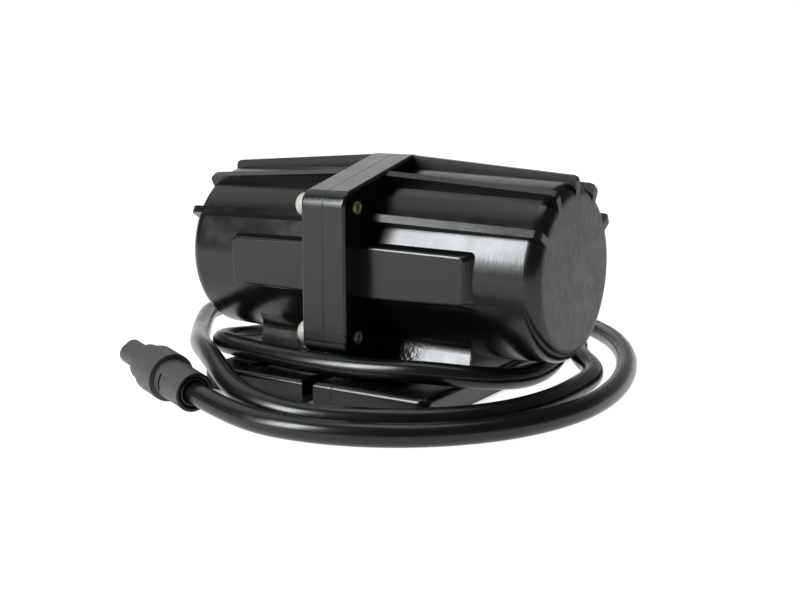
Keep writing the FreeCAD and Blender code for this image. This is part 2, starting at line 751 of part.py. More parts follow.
# ---------------------------------------------------------------- bearings
def bearing(name, side):
    """Outer race, inner race and balls of one deep-groove bearing."""
    start = half_length - bearing_cover - bearing_seat_depth + seat_gap * 2
    if side < 0:
        start = -start - bearing_width
    middle = start + bearing_width / 2
    pitch = (bearing_outer_radius - bearing_race_wall + journal_radius + bearing_race_wall) / 2
    groove = doc.addObject("Part::Torus", name + "_groove")
    bind(groove, "Radius1", pitch)
    bind(groove, "Radius2", ball_radius + ball_gap)
    groove.Placement = FreeCAD.Placement(Vector(0, 0, 0), Rotation(Vector(0, 1, 0), 90))
    bind(groove, "Placement.Base.x", middle)
    bind(groove, "Placement.Base.z", axis_height)
    outside = along_x(name + "_outside", bearing_outer_radius, start, bearing_width)
    window = along_x(name + "_window", bearing_outer_radius - bearing_race_wall, start - 1,
                     bearing_width + 2)
    node(cut(name + "_outer_race", outside, fuse(name + "_outer_cut", [window, groove])))
    inside = along_x(name + "_inside", journal_radius + bearing_race_wall, start, bearing_width)
    bore = along_x(name + "_shaft_bore", journal_radius + running_fit, start - 1, bearing_width + 2)
    groove_two = doc.copyObject(groove)
    bind(groove_two, "Placement.Base.x", middle)
    node(cut(name + "_inner_race", inside, fuse(name + "_inner_cut", [bore, groove_two])))
    balls = []
    for k in range(ball_count):
        angle = 2 * math.pi * k / ball_count
        ball = doc.addObject("Part::Sphere", "%s_ball_%d" % (name, k + 1))
        bind(ball, "Radius", ball_radius)
        bind(ball, "Placement.Base.x", middle)
        bind(ball, "Placement.Base.y", pitch * math.sin(angle))
        bind(ball, "Placement.Base.z", axis_height + pitch * math.cos(angle))
        balls.append(ball)
    node(group(name + "_balls", balls))


bearing("left_bearing", -1)
bearing("right_bearing", 1)


# ---------------------------------------------------------------- brush gear
def brush_gear():
    ring = along_x("brush_ring", cavity_radius - seat_gap, brush_plate_start, brush_plate_thickness)
    hole = along_x("brush_ring_bore", brush_plate_bore, brush_plate_start - 1,
                   brush_plate_thickness + 2)
    node(cut("brush_plate", ring, hole))
    slot_x = brush_width + brush_gap * 2
    slot_y = brush_breadth + brush_gap * 2
    low_x = brush_plate_start - holder_wall - slot_x - holder_wall
    for k, up in ((0, 1), (1, -1)):
        tag = ("upper", "lower")[k]
        inner = commutator_radius + 2
        low_z = axis_height + inner if up > 0 else axis_height - inner - holder_length
        shell = box(tag + "_holder_shell", (low_x, -slot_y / 2 - holder_wall, low_z),
                    (slot_x + holder_wall * 2, slot_y + holder_wall * 2, holder_length))
        room = box(tag + "_holder_room", (low_x + holder_wall, -slot_y / 2, low_z - 1),
                   (slot_x, slot_y, holder_length + 2))
        node(cut(tag + "_brush_holder", shell, room))
        rest = commutator_radius + 0.05
        brush_z = axis_height + rest if up > 0 else axis_height - rest - brush_length
        brush = box(tag + "_brush", (low_x + holder_wall + brush_gap, -brush_breadth / 2, brush_z),
                    (brush_width, brush_breadth, brush_length))
        node(brush)
        top = commutator_radius + 0.05 + brush_length + 0.1
        leaf_z = axis_height + top if up > 0 else axis_height - top - spring_thickness
        leaf = box(tag + "_spring_leaf", (low_x + holder_wall + brush_gap * 2, -brush_breadth / 2, leaf_z),
                   (brush_width - brush_gap * 2, brush_breadth, spring_thickness))
        arm_z = axis_height + top if up > 0 else axis_height - inner - holder_length - 1
        arm = box(tag + "_spring_arm", (low_x + holder_wall + brush_gap * 2, -brush_breadth / 2, arm_z),
                  (brush_width - brush_gap * 2, spring_thickness, inner + holder_length + 1 - top))
        node(fuse(tag + "_brush_spring", [leaf, arm]))


brush_gear()


# ---------------------------------------------------------------- gland, cable and plug
# Centre line of the cable: from the gland, behind and round the motor three times, to the plug.
CABLE_ROUTE = [
    (-46, 68.2, 57), (-46, 101, 55), (-22, 124, 50), (12, 124, 44), (42, 105, 37), (59, 76, 29),
    (70, 47, 19), (77.5, 18, 11), (79, -12, 10.2), (72.5, -39.5, 14.6), (49, -54, 17.6),
    (20, -59.4, 16.3), (-10, -60.2, 16.3), (-40, -55.8, 16.3), (-70, -49, 16.4), (-85, -25, 12.5),
    (-88, 6, 8), (-90, 38, 5.2), (-82, 69, 5.2), (-61, 94, 5.2), (-31, 108, 5.2), (3, 112, 5.2),
    (35, 106, 5.2), (59, 89, 5.2), (69, 63, 5.2), (94, 32, 5.2), (97, -3, 5.2),
    (95, -34, 5.2), (84, -62, 5.2), (62, -84, 5.2), (35, -97, 5.2), (10, -103, 5.6), (-19, -99, 9.5),
    (-48, -79.5, 16.8), (-80, -52, 15.4), (-110, -17, 9.5), (-140, 20, 7.5), (-166, 57, 6), (-165, 99, 5.2),
    (-139, 132, 5.2), (-98, 151, 5.2), (-53, 158, 5.2), (-8, 156, 5.2), (34, 141, 5.2),
    (66, 114, 5.2), (89, 79, 5.2), (105, 40, 5.2), (114, 0, 5.2), (113.5, -38, 5.2),
    (99, -76, 5.2), (70, -105, 5.2), (33.5, -119.5, 5.2), (-5.5, -118.3, 5.5), (-41.5, -105.3, 9.9)]
PLUG_DIRECTION = (Vector(*CABLE_ROUTE[-1]) - Vector(*CABLE_ROUTE[-2])).normalize()


def cable_path(points):
    """Straight runs joined by tangent arcs, as large as the runs beside each corner allow."""
    spots = [Vector(*p) for p in points]
    edges = []
    radii = []
    begin = spots[0]
    for k in range(1, len(spots) - 1):
        back = spots[k - 1] - spots[k]
        ahead = spots[k + 1] - spots[k]
        reach = 0.45 * min(back.Length, ahead.Length)
        half_turn = (math.pi - back.getAngle(ahead)) / 2
        radii.append(reach / math.tan(half_turn))
        enter = spots[k] + Vector(back).normalize() * reach
        leave = spots[k] + Vector(ahead).normalize() * reach
        centre_way = (Vector(back).normalize() + Vector(ahead).normalize()).normalize()
        middle = spots[k] + centre_way * (radii[-1] / math.cos(half_turn) - radii[-1])
        edges.append(Part.LineSegment(begin, enter).toShape())
        edges.append(Part.Arc(enter, middle, leave).toShape())
        begin = leave
    edges.append(Part.LineSegment(begin, spots[-1]).toShape())
    return Part.Wire(edges), radii


def cable():
    path, radii = cable_path(CABLE_ROUTE)
    start = Vector(*CABLE_ROUTE[0])
    away = (Vector(*CABLE_ROUTE[1]) - start).normalize()
    ring = Part.Wire([Part.Circle(start, away, cable_radius.value).toShape()])
    tube = path.makePipeShell([ring], True, False)
    piece = doc.addObject("Part::Feature", "cable")
    piece.Shape = tube
    node(piece)
    expected = math.pi * cable_radius.value ** 2 * path.Length
    print("cable length %.1f mm, volume %.0f, section times length %.0f"
          % (path.Length, abs(tube.Volume), expected))
    print("cable arc radii", [round(r) for r in radii])


def gland():
    body = new_body("cable_gland")
    profile = new_sketch(body, "gland_profile", "XZ_Plane")
    face = gland_seat_reach
    inner = face - 8
    hole = cable_radius + gland_bore_gap
    tip = face + gland_length
    polygon(profile, [(inner, hole), (inner, gland_thread_radius), (face + seat_gap * 4, gland_thread_radius),
                      (face + seat_gap * 4, gland_flange_radius),
                      (face + gland_flange_height, gland_flange_radius),
                      (face + gland_flange_height, gland_boot_radius), (tip, hole + 1), (tip, hole)])
    turned(body, profile, "gland_turning")
    body.Placement = FreeCAD.Placement(Vector(0, 0, 0), Rotation(AXIS_Z, 90))
    bind(body, "Placement.Base.x", -gland_place)
    bind(body, "Placement.Base.z", axis_height)


gland_seat_reach = pad_root_reach - (pad_root_reach - pad_tip_reach) * (
    (gland_place - flange_face) / (pad_end - flange_face))
gland()
cable()


def tongue_shoulder(edge):
    """The two long edges on the rounded side of the plug's tongue."""
    return parallel_to(edge, AXIS_X) and near(edge.BoundBox.ZMax, plug_tongue_top)


def plug():
    body = new_body("plug_body")
    profile = new_sketch(body, "plug_profile", "XZ_Plane")
    boot_end = plug_boot_length
    collar_end = boot_end + plug_collar_length
    barrel_end = collar_end + plug_barrel_length
    polygon(profile, [(cable_end_gap, 0), (cable_end_gap, plug_mouth_radius), (-plug_mouth_depth, plug_mouth_radius),
                      (-plug_mouth_depth, plug_boot_radius), (boot_end, plug_boot_radius),
                      (boot_end, plug_collar_radius), (collar_end, plug_collar_radius),
                      (collar_end, plug_barrel_radius), (barrel_end, plug_barrel_radius - 0.6),
                      (barrel_end, 0)])
    turned(body, profile, "plug_turning")
    tongue = new_sketch(body, "plug_tongue_outline", "YZ_Plane", barrel_end - 1)
    polygon(tongue, [(-plug_tongue_half, plug_tongue_low), (-plug_tongue_half, plug_tongue_top),
                     (plug_tongue_half, plug_tongue_top), (plug_tongue_half, plug_tongue_low)])
    bar = pad(body, tongue, "plug_tongue", plug_tongue_length)
    dress(body, bar, "plug_tongue_rounding", tongue_shoulder, plug_tongue_round)
    seat = new_sketch(body, "plug_pin_seat_spot", "YZ_Plane", barrel_end - 6)
    circles(seat, [(0, -plug_pin_offset)], plug_pin_radius + running_fit)
    pocket(body, seat, "plug_pin_seat", 7)
    socket = new_sketch(body, "plug_socket_spot", "YZ_Plane", barrel_end + plug_tongue_length - 13)
    circles(socket, [(0, plug_pin_offset)], plug_pin_radius + 0.3)
    pocket(body, socket, "plug_socket", 14)
    start = Vector(*CABLE_ROUTE[-1])
    place = FreeCAD.Placement(start, Rotation(AXIS_X, PLUG_DIRECTION))
    body.Placement = place
    pin = doc.addObject("Part::Cylinder", "plug_pin")
    bind(pin, "Radius", plug_pin_radius)
    bind(pin, "Height", plug_pin_length + 5.9)
    local = FreeCAD.Placement(Vector(number_of(barrel_end) - 5.9, 0, -plug_pin_offset.value),
                              Rotation(Vector(0, 1, 0), 90))
    pin.Placement = place.multiply(local)
    node(pin)


plug()


# ---------------------------------------------------------------- checks and output
doc.recompute()
for item in doc.Objects:
    if "Invalid" in item.State or "Error" in item.State:
        raise RuntimeError("%s failed: %s" % (item.Name, item.State))
for piece in nodes:
    if piece.Shape.isNull() or not piece.Shape.isValid():
        raise RuntimeError("%s has no valid shape" % piece.Label)
os.makedirs("parts", exist_ok=True)
for piece in nodes:
    piece.Shape.exportStep("parts/%s.step" % piece.Label)
    print("%-22s %2d solids %10.1f mm3" % (piece.Label, len(piece.Shape.Solids), piece.Shape.Volume))
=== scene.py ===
# Looks for a 12 V vibration motor: powder-coated die-cast halves, nylon screw caps, PVC cable.
import json
import math

import bmesh
import bpy
from mathutils import Matrix, Vector


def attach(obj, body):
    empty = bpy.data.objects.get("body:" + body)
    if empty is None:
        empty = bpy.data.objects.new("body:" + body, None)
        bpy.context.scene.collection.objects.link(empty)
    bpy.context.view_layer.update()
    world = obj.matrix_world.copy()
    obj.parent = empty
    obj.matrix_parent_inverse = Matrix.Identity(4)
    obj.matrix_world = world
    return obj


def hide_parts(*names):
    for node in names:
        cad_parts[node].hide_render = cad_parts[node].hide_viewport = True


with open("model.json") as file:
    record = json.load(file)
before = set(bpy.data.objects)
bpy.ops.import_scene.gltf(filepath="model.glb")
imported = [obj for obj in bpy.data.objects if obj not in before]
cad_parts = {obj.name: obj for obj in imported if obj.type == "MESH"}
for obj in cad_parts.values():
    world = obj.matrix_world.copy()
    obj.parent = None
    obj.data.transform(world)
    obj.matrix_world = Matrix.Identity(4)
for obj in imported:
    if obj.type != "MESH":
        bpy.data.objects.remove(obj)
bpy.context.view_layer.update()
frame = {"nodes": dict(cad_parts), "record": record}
scene = bpy.context.scene
mm = 0.001
VIEW_TILT = math.radians(79.49)
VIEW_TURN = math.radians(31.99)


# ---------------------------------------------------------------- camera
def make_camera():
    data = bpy.data.cameras.new("camera")
    data.lens = 54.84
    data.sensor_width = 36.0
    camera = bpy.data.objects.new("camera", data)
    scene.collection.objects.link(camera)
    camera.location = (0.31133, -0.49348, 0.14424)
    camera.rotation_euler = (VIEW_TILT, 0.0, VIEW_TURN)
    scene.camera = camera


make_camera()

# ---------------------------------------------------------------- cable
# Centre line of the cable in millimetres, gland first, plug last.
CABLE_ROUTE = [
    (-46, 68.2, 57), (-46, 101, 55), (-22, 124, 50), (12, 124, 44), (42, 105, 37), (59, 76, 29),
    (70, 47, 19), (77.5, 18, 11), (79, -12, 10.2), (72.5, -39.5, 14.6), (49, -54, 17.6),
    (20, -59.4, 16.3), (-10, -60.2, 16.3), (-40, -55.8, 16.3), (-70, -49, 16.4), (-85, -25, 12.5),
    (-88, 6, 8), (-90, 38, 5.2), (-82, 69, 5.2), (-61, 94, 5.2), (-31, 108, 5.2), (3, 112, 5.2),
    (35, 106, 5.2), (59, 89, 5.2), (69, 63, 5.2), (94, 32, 5.2), (97, -3, 5.2),
    (95, -34, 5.2), (84, -62, 5.2), (62, -84, 5.2), (35, -97, 5.2), (10, -103, 5.6), (-19, -99, 9.5),
    (-48, -79.5, 16.8), (-80, -52, 15.4), (-110, -17, 9.5), (-140, 20, 7.5), (-166, 57, 6), (-165, 99, 5.2),
    (-139, 132, 5.2), (-98, 151, 5.2), (-53, 158, 5.2), (-8, 156, 5.2), (34, 141, 5.2),
    (66, 114, 5.2), (89, 79, 5.2), (105, 40, 5.2), (114, 0, 5.2), (113.5, -38, 5.2),
    (99, -76, 5.2), (70, -105, 5.2), (33.5, -119.5, 5.2), (-5.5, -118.3, 5.5), (-41.5, -105.3, 9.9)]
CABLE_RADIUS = 5.0 * mm
# A curve's box grows by the radius of its points, so they get the cable's own.
POINT_RADIUS = CABLE_RADIUS


def make_cable():
    data = bpy.data.curves.new("supply_cable", "CURVE")
    data.dimensions = "3D"
    data.resolution_u = 10
    data.bevel_depth = CABLE_RADIUS / POINT_RADIUS
    data.bevel_resolution = 7
    data.use_fill_caps = True
    spline = data.splines.new("NURBS")
    spline.points.add(len(CABLE_ROUTE) - 1)
    for point, (x, y, z) in zip(spline.points, CABLE_ROUTE):
        point.co = (x * mm, y * mm, z * mm, 1.0)
        point.radius = POINT_RADIUS
    spline.order_u = 3
    spline.use_endpoint_u = True
    cable = bpy.data.objects.new("supply_cable", data)
    scene.collection.objects.link(cable)
    return cable


cable = make_cable()
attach(cable, "housing")
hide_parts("cable")


# ---------------------------------------------------------------- materials
def colour(hex_code):
    """An sRGB hex value as linear red, green, blue and alpha."""
    parts = [int(hex_code[k:k + 2], 16) / 255 for k in (1, 3, 5)]
    return tuple(c / 12.92 if c <= 0.04045 else ((c + 0.055) / 1.055) ** 2.4 for c in parts) + (1.0,)


def add(tree, kind, links=(), **settings):
    """Add one node: settings go to its properties or sockets, links come from other sockets."""
    made = tree.nodes.new(kind)
    for name, value in settings.items():
        if hasattr(made, name):
            setattr(made, name, value)
        else:
            made.inputs[name.replace("_", " ")].default_value = value
    for socket, source in dict(links).items():
        tree.links.new(source, made.inputs[socket])
    return made


def finish(name):
    """A new material: its node tree, its shader and object coordinates."""
    material = bpy.data.materials.new(name)
    material.use_nodes = True
    tree = material.node_tree
    shader = tree.nodes["Principled BSDF"]
    place = add(tree, "ShaderNodeTexCoord")
    return material, tree, shader, place.outputs["Object"]


def grain(tree, place, size_mm, detail=3.0, rough=0.5):
    """Noise whose features are about the given size."""
    return add(tree, "ShaderNodeTexNoise", {"Vector": place}, Scale=1000.0 / size_mm, Detail=detail,
               Roughness=rough).outputs["Fac"]


def spread(tree, source, low, high, start=0.3, stop=0.7):
    """Map a value between start and stop onto a range, and hold it at the ends."""
    return add(tree, "ShaderNodeMapRange", {"Value": source}, From_Min=start, From_Max=stop,
               To_Min=low, To_Max=high).outputs["Result"]


def blend_colours(tree, factor, low, high):
    ramp = add(tree, "ShaderNodeMix", {"Factor": factor}, data_type="RGBA")
    ramp.inputs["A"].default_value = colour(low)
    ramp.inputs["B"].default_value = colour(high)
    return [s for s in ramp.outputs if s.type == "RGBA"][0]


def dents(tree, shader, height, depth_mm, strength=1.0, under=None):
    """Raise the surface by a pattern, on top of the dents under it if there are any."""
    links = {"Height": height}
    if under is not None:
        links["Normal"] = under
    made = add(tree, "ShaderNodeBump", links, Strength=strength, Distance=depth_mm * mm)
    tree.links.new(made.outputs["Normal"], shader.inputs["Normal"])
    return made.outputs["Normal"]


# Zones of the castings and of the floor in millimetres: axis, start, end, blur, and whether the
# other half of the motor has the same zone.
ZONES = {
    "end_face": ("X", 94.6, 120.0, 0.3, True),
    "outer_drum": ("X", 62.0, 88.0, 8.0, True),
    "flange_rim": ("X", 0.0, 11.2, 0.4, True),
    "beside_flange": ("X", 12.0, 34.0, 8.0, True),
    "pedestal_height": ("Z", 12.0, 31.0, 3.0, True),
    "right_pedestal": ("X", 13.0, 58.0, 0.5, False),
    # The foot's footprint on the floor, where the floor's glow is cut to paint the shadow under the foot.
    "foot_length": ("X", -59.0, 57.0, 7.0, False),
    "foot_width": ("Y", -70.0, 69.0, 16.0, False),
}


def zone(tree, place, name):
    """1 inside a zone and 0 outside it, with soft edges."""
    axis, low, high, blur, mirrored = ZONES[name]
    size = add(tree, "ShaderNodeSeparateXYZ", {"Vector": place}).outputs[axis]
    if mirrored:
        size = add(tree, "ShaderNodeMath", {0: size}, operation="ABSOLUTE").outputs["Value"]
    rise = spread(tree, size, 0.0, 1.0, (low - blur) * mm, low * mm)
    fall = spread(tree, size, 1.0, 0.0, high * mm, (high + blur) * mm)
    return multiply(tree, rise, fall)


def join_values(tree, operation, one, two):
    return add(tree, "ShaderNodeMath", {0: one, 1: two}, operation=operation).outputs["Value"]


def multiply(tree, one, two):
    return join_values(tree, "MULTIPLY", one, two)


def powder_coat():
    """Black powder coat on die-cast aluminium: semi-gloss, with faint orange peel and slow waviness.
    The flange's rim, the outer drum and the end faces keep fine drag lines from the die. The right
    pedestal is rippled beside the flange, and its lower face leans back a little."""
    material, tree, shader, place = finish("black_powder_coat")
    shader.inputs["IOR"].default_value = 1.5
    shader.inputs["Specular IOR Level"].default_value = 0.45
    tone = blend_colours(tree, grain(tree, place, 5.0, 4.0), "#040404", "#080808")
    tree.links.new(tone, shader.inputs["Base Color"])
    end_face = zone(tree, place, "end_face")
    drawn = join_values(tree, "MAXIMUM", end_face, zone(tree, place, "flange_rim"))
    drawn = join_values(tree, "MAXIMUM", drawn, zone(tree, place, "outer_drum"))
    gloss = spread(tree, grain(tree, place, 9.0, 4.0), 0.2, 0.27)
    satin = multiply(tree, end_face, spread(tree, grain(tree, place, 3.0, 3.0), 0.1, 0.2))
    tree.links.new(join_values(tree, "ADD", gloss, satin), shader.inputs["Roughness"])
    upright = add(tree, "ShaderNodeMapping", {"Vector": place}, Scale=(1.0, 1.0, 0.04)).outputs["Vector"]
    lines = multiply(tree, drawn, grain(tree, upright, 0.9, 3.0))
    cast_zone = multiply(tree, zone(tree, place, "pedestal_height"), zone(tree, place, "beside_flange"))
    ripple = multiply(tree, cast_zone, grain(tree, place, 2.2, 2.0))
    height = add(tree, "ShaderNodeSeparateXYZ", {"Vector": place}).outputs["Z"]
    slope = spread(tree, height, 1.0, 0.0, 12 * mm, 24 * mm)
    lean = multiply(tree, zone(tree, place, "right_pedestal"), slope)
    bump = dents(tree, shader, grain(tree, place, 16.0, 1.0), 0.14, 0.4)
    bump = dents(tree, shader, lines, 0.07, 0.7, bump)
    bump = dents(tree, shader, lean, 1.9, 1.0, bump)
    bump = dents(tree, shader, ripple, 0.3, 0.8, bump)
    dents(tree, shader, grain(tree, place, 1.3, 1.0), 0.012, 0.4, bump)
    return material


def cable_jacket():
    """Black PVC cable jacket: smooth and glossy, with slow swells along its length."""
    material, tree, shader, place = finish("black_pvc_jacket")
    shader.inputs["IOR"].default_value = 1.5
    shader.inputs["Specular IOR Level"].default_value = 0.4
    tone = blend_colours(tree, grain(tree, place, 6.0, 3.0), "#070707", "#0c0c0c")
    tree.links.new(tone, shader.inputs["Base Color"])
    tree.links.new(spread(tree, grain(tree, place, 8.0, 3.0), 0.22, 0.29), shader.inputs["Roughness"])
    dents(tree, shader, grain(tree, place, 9.0, 1.0), 0.05, 0.4)
    return material


def moulded_rubber():
    """Black moulded rubber: matt with a soft sheen."""
    material, tree, shader, place = finish("black_moulded_rubber")
    tone = blend_colours(tree, grain(tree, place, 2.0, 4.0), "#2b2b2c", "#393938")
    tree.links.new(tone, shader.inputs["Base Color"])
    tree.links.new(spread(tree, grain(tree, place, 3.0, 3.0), 0.42, 0.58), shader.inputs["Roughness"])
    dents(tree, shader, grain(tree, place, 0.9, 2.0), 0.03, 0.5)
    return material


def nylon():
    """White nylon 6 screw cap: slightly warm, waxy and a little see-through."""
    material, tree, shader, place = finish("white_nylon_6")
    shader.inputs["IOR"].default_value = 1.53
    shader.inputs["Subsurface Weight"].default_value = 0.15
    shader.inputs["Subsurface Radius"].default_value = (0.002, 0.0016, 0.0012)
    tone = blend_colours(tree, grain(tree, place, 3.0, 3.0), "#94928a", "#a4a29a")
    tree.links.new(tone, shader.inputs["Base Color"])
    tree.links.new(spread(tree, grain(tree, place, 1.5, 2.0), 0.3, 0.42), shader.inputs["Roughness"])
    dents(tree, shader, grain(tree, place, 1.2, 2.0), 0.02, 0.4)
    return material


def metal(name, low, high, roughness, size_mm, depth_mm, stretch=(1.0, 1.0, 1.0)):
    """A bare metal whose tone and roughness vary with its grain."""
    material, tree, shader, place = finish(name)
    along = add(tree, "ShaderNodeMapping", {"Vector": place}, Scale=stretch).outputs["Vector"]
    shader.inputs["Metallic"].default_value = 1.0
    fine = grain(tree, along, size_mm, 4.0)
    tree.links.new(blend_colours(tree, fine, low, high), shader.inputs["Base Color"])
    tree.links.new(spread(tree, fine, roughness - 0.06, roughness + 0.08), shader.inputs["Roughness"])
    dents(tree, shader, fine, depth_mm, 0.5)
    return material


def dull(name, low, high, roughness, size_mm, depth_mm, reflection=0.5):
    """A non-metal with a mottled tone."""
    material, tree, shader, place = finish(name)
    shader.inputs["Specular IOR Level"].default_value = reflection
    fine = grain(tree, place, size_mm, 5.0)
    tree.links.new(blend_colours(tree, fine, low, high), shader.inputs["Base Color"])
    tree.links.new(spread(tree, fine, roughness - 0.07, roughness + 0.07), shader.inputs["Roughness"])
    dents(tree, shader, fine, depth_mm, 0.5)
    return material


FINISHES = {
    "casting": powder_coat(),
    "gasket": dull("black_gasket_paper", "#040404", "#070707", 0.35, 1.2, 0.01, 0.3),
    "white_nylon": nylon(),
    "cable_jacket": cable_jacket(),
    "black_rubber": moulded_rubber(),
    # yellow-passivated zinc on a cold-headed screw: brownish, worn bright in places
    "zinc_steel": metal("passivated_zinc", "#8a765e", "#c2b6a3", 0.45, 0.9, 0.05),
    # ground mild steel: fine lines round the axis
    "mild_steel": metal("ground_steel", "#7c7d80", "#a9aaad", 0.34, 0.6, 0.02, (3.0, 1.0, 1.0)),
    # hardened bearing steel: close to a mirror
    "bearing_steel": metal("polished_bearing_steel", "#b4b5b8", "#d2d3d5", 0.14, 1.5, 0.005),
    # enamelled copper wire: reddish, lacquered
    "copper": metal("enamelled_copper", "#a3532c", "#c97b4a", 0.3, 0.7, 0.08, (0.2, 1.0, 1.0)),
    # grey iron as cast: dark and rough
    "weight_iron": metal("grey_iron", "#2d2c2b", "#454442", 0.6, 1.1, 0.15),
    "brass": metal("drawn_brass", "#b08a45", "#d6b26a", 0.25, 1.0, 0.02, (0.3, 1.0, 1.0)),
    # sintered ferrite: matt charcoal
    "ferrite": dull("sintered_ferrite", "#232325", "#323235", 0.7, 0.7, 0.05),
    # paper phenolic laminate: brown with fine fibres
    "phenolic": dull("paper_phenolic", "#4a2a16", "#6b4023", 0.5, 1.5, 0.04),
    "carbon": dull("pressed_carbon", "#1a1a1b", "#262628", 0.6, 0.8, 0.04),
    # painted shade: a near-black, unreflecting strip laid on the plug's sleeve, standing for the dark inside
    # of a narrow slot
    "slot_shade": dull("painted_slot_shade", "#010101", "#030303", 0.8, 1.0, 0.01, 0.02),
}


def dress_nodes():
    """Give every carried-over CAD node the finish of its slot."""
    for part in frame["record"]["subparts"]:
        thing = frame["nodes"][part["node"]]
        thing.data.materials.clear()
        thing.data.materials.append(FINISHES[part["material_slot"]])


dress_nodes()
cable.data.materials.append(FINISHES["cable_jacket"])


# ---------------------------------------------------------------- small repeated details
def value_input(tree, name, kind, value):
    """Add a named input to a node group and give back its identifier and first value."""
    socket = tree.interface.new_socket(name, in_out="INPUT", socket_type=kind)
    socket.default_value = value
    return socket.identifier, value


# Millimetres, as the screws stand in the motor.
SCREW_PITCH_ACROSS = 99.4
SCREW_PITCH_UP = 58.6
SCREW_TIP_FACE = 12.25
AXIS_HEIGHT = 57.0


def tip_rim_tree():
    """Rolled rims at the four corners of a rectangle that stands across the motor's axis."""
    tree = bpy.data.node_groups.new("screw_tip_rims", "GeometryNodeTree")
    tree.interface.new_socket("Geometry", in_out="OUTPUT", socket_type="NodeSocketGeometry")
    values = dict(value_input(tree, name, "NodeSocket" + kind, value) for name, kind, value in (
        ("Pitch Across", "Float", SCREW_PITCH_ACROSS * mm), ("Pitch Up", "Float", SCREW_PITCH_UP * mm),
        ("Centre", "Vector", (SCREW_TIP_FACE * mm, 0.0, AXIS_HEIGHT * mm)),
        ("Rim Radius", "Float", 2.35 * mm), ("Rim Thickness", "Float", 0.42 * mm), ("Seed", "Int", 7)))
    given = add(tree, "NodeGroupInput").outputs
    corners = add(tree, "GeometryNodeMeshGrid", {
        "Size X": given["Pitch Across"], "Size Y": given["Pitch Up"]}, Vertices_X=2, Vertices_Y=2)
    upright = (math.radians(90), 0.0, math.radians(90))
    stood = add(tree, "GeometryNodeTransform", {
        "Geometry": corners.outputs["Mesh"], "Translation": given["Centre"]}, Rotation=upright)
    path = add(tree, "GeometryNodeCurvePrimitiveCircle", {"Radius": given["Rim Radius"]}, Resolution=20)
    section = add(tree, "GeometryNodeCurvePrimitiveCircle", {"Radius": given["Rim Thickness"]}, Resolution=6)
    rim = add(tree, "GeometryNodeCurveToMesh", {
        "Curve": path.outputs["Curve"], "Profile Curve": section.outputs["Curve"]})
    wear = add(tree, "FunctionNodeRandomValue", {"Seed": given["Seed"]}, data_type="FLOAT_VECTOR",
               Min=(0.97, 0.94, 0.9), Max=(1.03, 1.0, 1.1))
    along_axis = (0.0, math.radians(90), 0.0)
    rims = add(tree, "GeometryNodeInstanceOnPoints", {
        "Points": stood.outputs["Geometry"], "Instance": rim.outputs["Mesh"],
        "Scale": wear.outputs["Value"]}, Rotation=along_axis)
    real = add(tree, "GeometryNodeRealizeInstances", {"Geometry": rims.outputs["Instances"]})
    painted = add(tree, "GeometryNodeSetMaterial", {"Geometry": real.outputs["Geometry"]},
                  Material=FINISHES["zinc_steel"])
    out = add(tree, "NodeGroupOutput")
    tree.links.new(painted.outputs["Geometry"], out.inputs[0])
    return tree, values


def grown(name, tree, values, body, slot):
    """Run a node group on an empty mesh and keep the result as one plain mesh on a body."""
    seed = bpy.data.objects.new(name + "_seed", bpy.data.meshes.new(name + "_seed"))
    scene.collection.objects.link(seed)
    modifier = seed.modifiers.new(name, "NODES")
    modifier.node_group = tree
    for identifier, value in values.items():
        modifier[identifier] = value
    bpy.context.view_layer.update()
    ready = seed.evaluated_get(bpy.context.evaluated_depsgraph_get())
    mesh = bpy.data.meshes.new_from_object(ready)
    mesh.name = name
    bpy.data.objects.remove(seed)
    return placed(name, mesh, body)


def placed(name, mesh, body):
    """A mesh as a piece that rides on a body."""
    made = bpy.data.objects.new(name, mesh)
    scene.collection.objects.link(made)
    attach(made, body)
    return made


def lathe(name, outline, place, slot, start=0.0, stop=360.0, steps=32, look=None):
    """A closed outline of (along, radius) in millimetres turned about the local X axis, wholly or
    from one angle to another in degrees. It has its slot's finish unless it is given another look."""
    mesh = bmesh.new()
    whole = abs(stop - start) >= 360.0
    angles = [math.radians(start + (stop - start) * k / steps) for k in range(steps + (not whole))]
    rows = [[mesh.verts.new(place @ Vector((x * mm, r * mm * math.cos(a), r * mm * math.sin(a))))
             for x, r in outline] for a in angles]
    turns = len(rows) if whole else len(rows) - 1
    for k in range(turns):
        here, after = rows[k], rows[(k + 1) % len(rows)]
        for j in range(len(outline)):
            i = (j + 1) % len(outline)
            mesh.faces.new((here[j], here[i], after[i], after[j]))
    if not whole:
        mesh.faces.new(rows[0])
        mesh.faces.new(rows[-1][::-1])
    bmesh.ops.recalc_face_normals(mesh, faces=mesh.faces)
    data = bpy.data.meshes.new(name)
    mesh.to_mesh(data)
    mesh.free()
    for face in data.polygons:
        face.use_smooth = True
    data.materials.append(FINISHES[look or slot])
    return placed(name, data, "housing")


def plug_place():
    """The plug's own frame: along the cable's last run, from the cable's end."""
    end, before = Vector(CABLE_ROUTE[-1]), Vector(CABLE_ROUTE[-2])
    turn = Vector((1, 0, 0)).rotation_difference(end - before)
    return Matrix.Translation(end * mm) @ turn.to_matrix().to_4x4()


